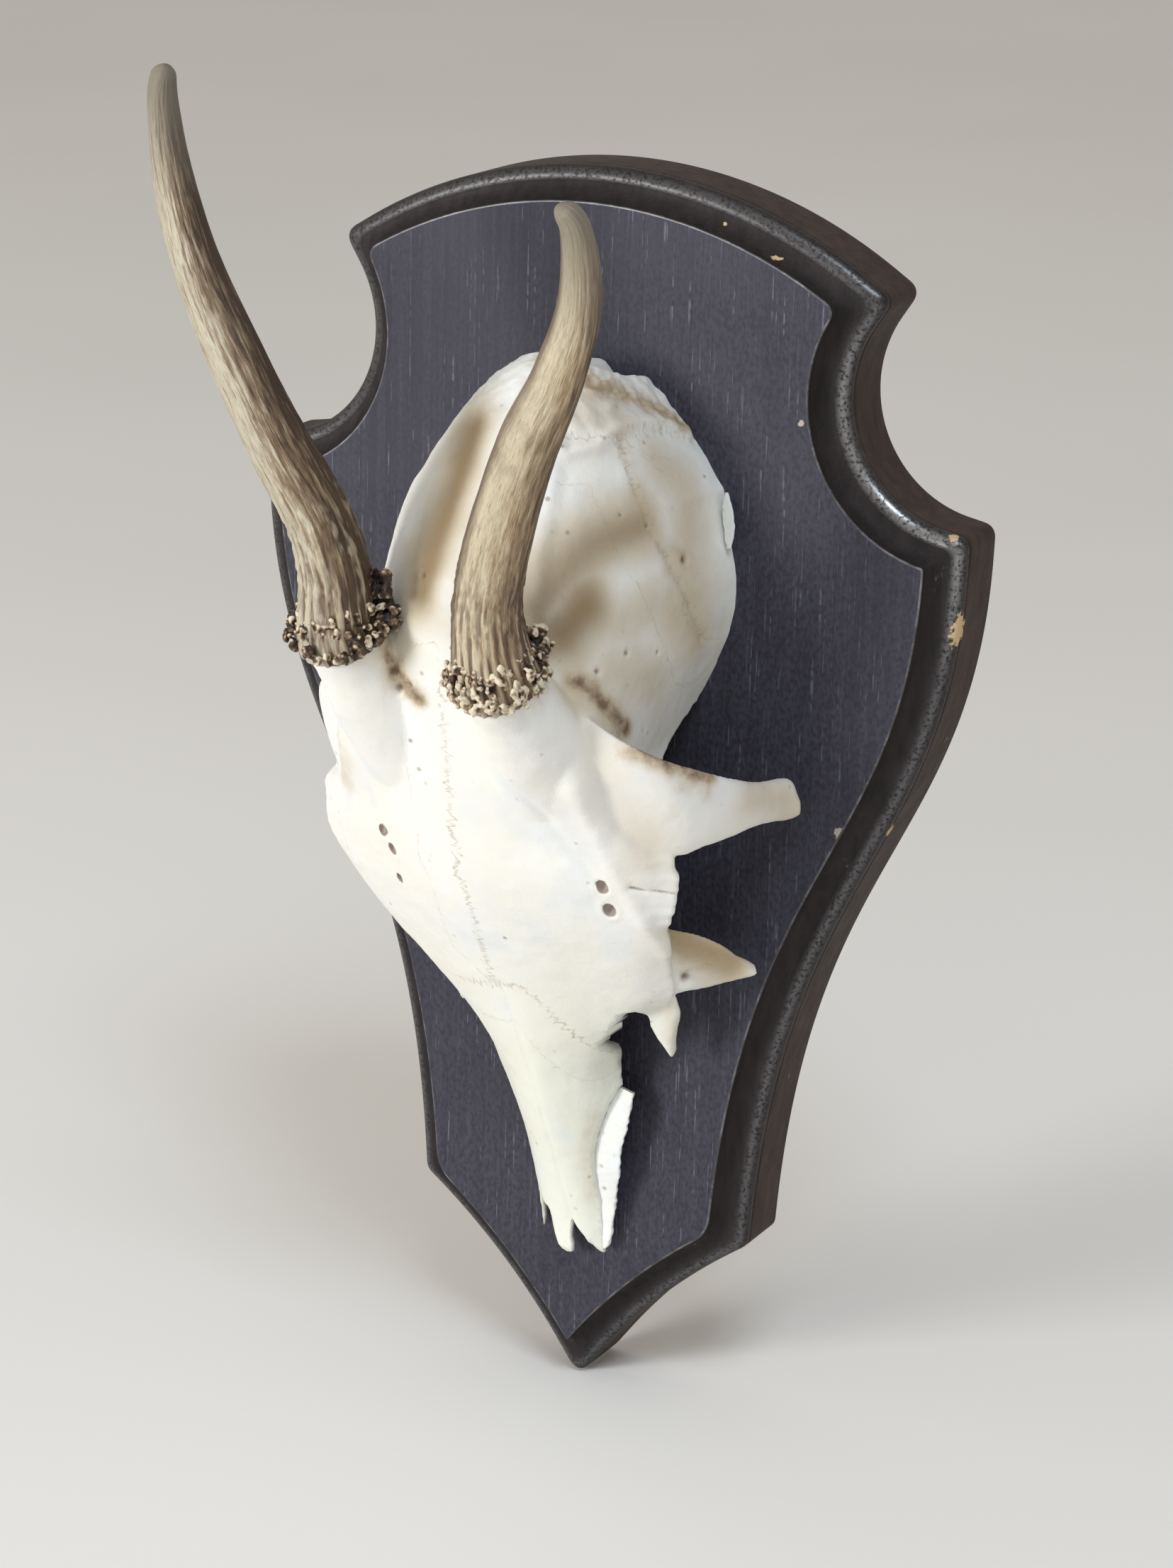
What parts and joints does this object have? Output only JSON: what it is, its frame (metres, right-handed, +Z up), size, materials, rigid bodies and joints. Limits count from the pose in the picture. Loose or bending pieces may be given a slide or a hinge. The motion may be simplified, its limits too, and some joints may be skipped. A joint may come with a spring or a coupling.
{
  "type": "antler mounting plaque",
  "caption": "Shield-shaped wooden wall plaque with a moulded edge, carrying a roebuck's skull cap with two short spike antlers.",
  "frame": {"origin": "point of the plaque's flat back that lies on the wall, on its midline at its widest height, between the two ears", "axes": "+Z up along the plaque, +Y into the wall, +X to the viewer's right; the face and the antlers point to -Y"},
  "size_m": [0.1478, 0.0972, 0.2628],
  "materials": {
    "stained_wood": "dark stained, satin lacquer, open grain",
    "bone": "bleached bone, with brown burrs and tan polished antlers"
  },
  "bodies": {
    "root": {"shield": "stained_wood", "skull_and_antlers": "bone"}
  },
  "joints": []
}
